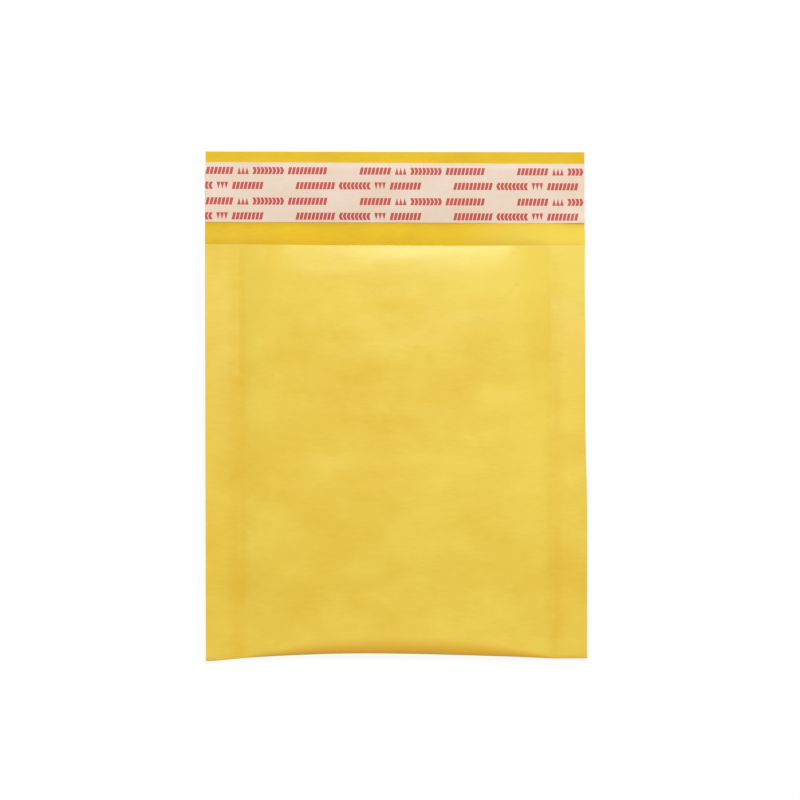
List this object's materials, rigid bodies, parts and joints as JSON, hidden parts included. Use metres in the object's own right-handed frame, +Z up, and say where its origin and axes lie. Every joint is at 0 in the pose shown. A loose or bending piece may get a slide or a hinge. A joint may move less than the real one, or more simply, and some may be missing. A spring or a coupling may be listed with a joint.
{
  "type": "padded envelope",
  "caption": "Flat kraft paper mailing envelope with bubble film padding, an open flap and a self-seal closure under a release liner.",
  "frame": {"origin": "on the supporting surface, under the middle of the outline with the flap open", "axes": "+X across the width, +Y from the bottom fold towards the flap's free edge, +Z up from the surface that it lies on"},
  "size_m": [0.165, 0.22, 0.0132],
  "materials": {
    "kraft_paper": "matte golden kraft paper",
    "bubble_film": "clear polyethylene bubble film",
    "adhesive": "pressure-sensitive hot-melt adhesive",
    "silicone_paper": "off-white silicone-coated release paper"
  },
  "bodies": {
    "root": {"kraft_sheet": "kraft_paper", "bubble_lining": "bubble_film", "adhesive_stripe": "adhesive", "release_liner": "silicone_paper"}
  },
  "joints": []
}
